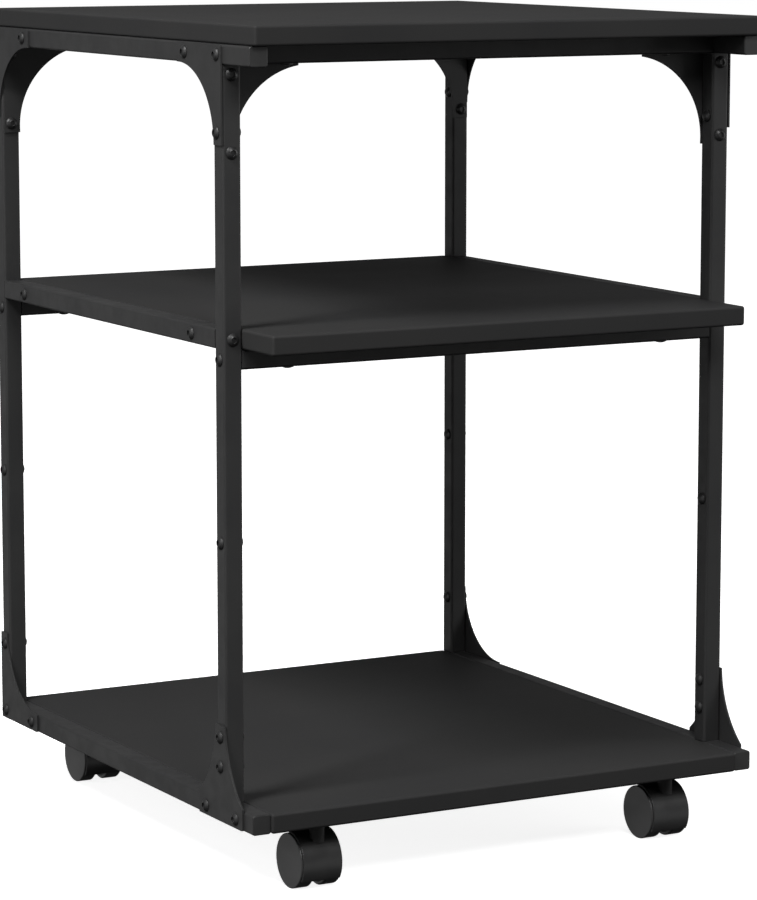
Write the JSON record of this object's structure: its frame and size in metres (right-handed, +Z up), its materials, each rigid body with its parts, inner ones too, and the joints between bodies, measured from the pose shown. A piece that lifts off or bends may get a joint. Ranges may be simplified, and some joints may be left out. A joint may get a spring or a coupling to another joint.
{
  "type": "mobile printer stand",
  "caption": "Open rolling stand with a top board and two shelves on a bolted frame of square steel tube, with corner plates and swivel casters.",
  "frame": {"origin": "on the floor, under the middle of the stand's box", "axes": "+Z up; -Y towards the front, where the boards reach past the legs; X left to right"},
  "size_m": [0.4478, 0.47, 0.645],
  "materials": {
    "board": "black laminated particle board, fine satin texture",
    "frame": "black powder coat, satin",
    "corner_plate": "black powder coat, satin",
    "caster_plate": "black painted pressed steel",
    "screw": "black oxide, semi-gloss",
    "cap": "black moulded plastic, matte",
    "zinc": "zinc plated",
    "caster_hood": "black moulded nylon, glossy",
    "wheel": "black moulded nylon, satin tread"
  },
  "bodies": {
    "stand": {"top_board": "board", "middle_board": "board", "bottom_board": "board", "leg_front_left": "frame", "leg_front_right": "frame", "leg_rear_left": "frame", "leg_rear_right": "frame", "top_side_rail_left": "frame", "top_side_rail_right": "frame", "middle_side_rail_left": "frame", "middle_side_rail_right": "frame", "bottom_side_rail_left": "frame", "bottom_side_rail_right": "frame", "top_cross_rail_front": "frame", "top_cross_rail_rear": "frame", "middle_cross_rail_front": "frame", "middle_cross_rail_rear": "frame", "top_side_plate_front_left": "corner_plate", "top_side_plate_front_right": "corner_plate", "top_side_plate_rear_left": "corner_plate", "top_side_plate_rear_right": "corner_plate", "top_cross_plate_front_left": "corner_plate", "top_cross_plate_front_right": "corner_plate", "top_cross_plate_rear_left": "corner_plate", "top_cross_plate_rear_right": "corner_plate", "bottom_side_plate_front_left": "corner_plate", "bottom_side_plate_front_right": "corner_plate", "bottom_side_plate_rear_left": "corner_plate", "bottom_side_plate_rear_right": "corner_plate", "rail_end_caps": "cap", "top_plate_screws": "screw", "cross_plate_bolts": "screw", "middle_rail_bolts": "screw", "middle_edge_screws": "screw", "bottom_plate_screws": "screw", "lower_leg_bolts": "screw", "leg_cap_nuts": "screw", "board_screws": "screw", "caster_plates": "caster_plate", "caster_plate_screws": "caster_plate", "rivet_nuts": "zinc", "rail_inserts": "zinc", "caster_kingpins": "zinc"},
    "caster_front_left": {"caster_hood_front_left": "caster_hood", "caster_axle_front_left": "zinc"},
    "caster_front_right": {"caster_hood_front_right": "caster_hood", "caster_axle_front_right": "zinc"},
    "caster_rear_left": {"caster_hood_rear_left": "caster_hood", "caster_axle_rear_left": "zinc"},
    "caster_rear_right": {"caster_hood_rear_right": "caster_hood", "caster_axle_rear_right": "zinc"},
    "wheel_front_left_left": {"caster_wheel_front_left_left": "wheel"},
    "wheel_front_left_right": {"caster_wheel_front_left_right": "wheel"},
    "wheel_front_right_left": {"caster_wheel_front_right_left": "wheel"},
    "wheel_front_right_right": {"caster_wheel_front_right_right": "wheel"},
    "wheel_rear_left_left": {"caster_wheel_rear_left_left": "wheel"},
    "wheel_rear_left_right": {"caster_wheel_rear_left_right": "wheel"},
    "wheel_rear_right_left": {"caster_wheel_rear_right_left": "wheel"},
    "wheel_rear_right_right": {"caster_wheel_rear_right_right": "wheel"}
  },
  "joints": [
    {"name": "swivel_front_left", "type": "hinge", "parent": "stand", "child": "caster_front_left", "pos_m": [-0.155, -0.2062, 0.047], "axis": [0, 0, 1], "continuous": true},
    {"name": "spin_front_left_left", "type": "hinge", "parent": "caster_front_left", "child": "wheel_front_left_left", "pos_m": [-0.166, -0.1937, 0.021], "axis": [1, 0, 0], "continuous": true},
    {"name": "spin_front_left_right", "type": "hinge", "parent": "caster_front_left", "child": "wheel_front_left_right", "pos_m": [-0.144, -0.1937, 0.021], "axis": [1, 0, 0], "continuous": true},
    {"name": "swivel_front_right", "type": "hinge", "parent": "stand", "child": "caster_front_right", "pos_m": [0.155, -0.2062, 0.047], "axis": [0, 0, 1], "continuous": true},
    {"name": "spin_front_right_left", "type": "hinge", "parent": "caster_front_right", "child": "wheel_front_right_left", "pos_m": [0.144, -0.1937, 0.021], "axis": [1, 0, 0], "continuous": true},
    {"name": "spin_front_right_right", "type": "hinge", "parent": "caster_front_right", "child": "wheel_front_right_right", "pos_m": [0.166, -0.1937, 0.021], "axis": [1, 0, 0], "continuous": true},
    {"name": "swivel_rear_left", "type": "hinge", "parent": "stand", "child": "caster_rear_left", "pos_m": [-0.155, 0.1827, 0.047], "axis": [0, 0, 1], "continuous": true},
    {"name": "spin_rear_left_left", "type": "hinge", "parent": "caster_rear_left", "child": "wheel_rear_left_left", "pos_m": [-0.166, 0.1952, 0.021], "axis": [1, 0, 0], "continuous": true},
    {"name": "spin_rear_left_right", "type": "hinge", "parent": "caster_rear_left", "child": "wheel_rear_left_right", "pos_m": [-0.144, 0.1952, 0.021], "axis": [1, 0, 0], "continuous": true},
    {"name": "swivel_rear_right", "type": "hinge", "parent": "stand", "child": "caster_rear_right", "pos_m": [0.155, 0.1827, 0.047], "axis": [0, 0, 1], "continuous": true},
    {"name": "spin_rear_right_left", "type": "hinge", "parent": "caster_rear_right", "child": "wheel_rear_right_left", "pos_m": [0.144, 0.1952, 0.021], "axis": [1, 0, 0], "continuous": true},
    {"name": "spin_rear_right_right", "type": "hinge", "parent": "caster_rear_right", "child": "wheel_rear_right_right", "pos_m": [0.166, 0.1952, 0.021], "axis": [1, 0, 0], "continuous": true}
  ]
}
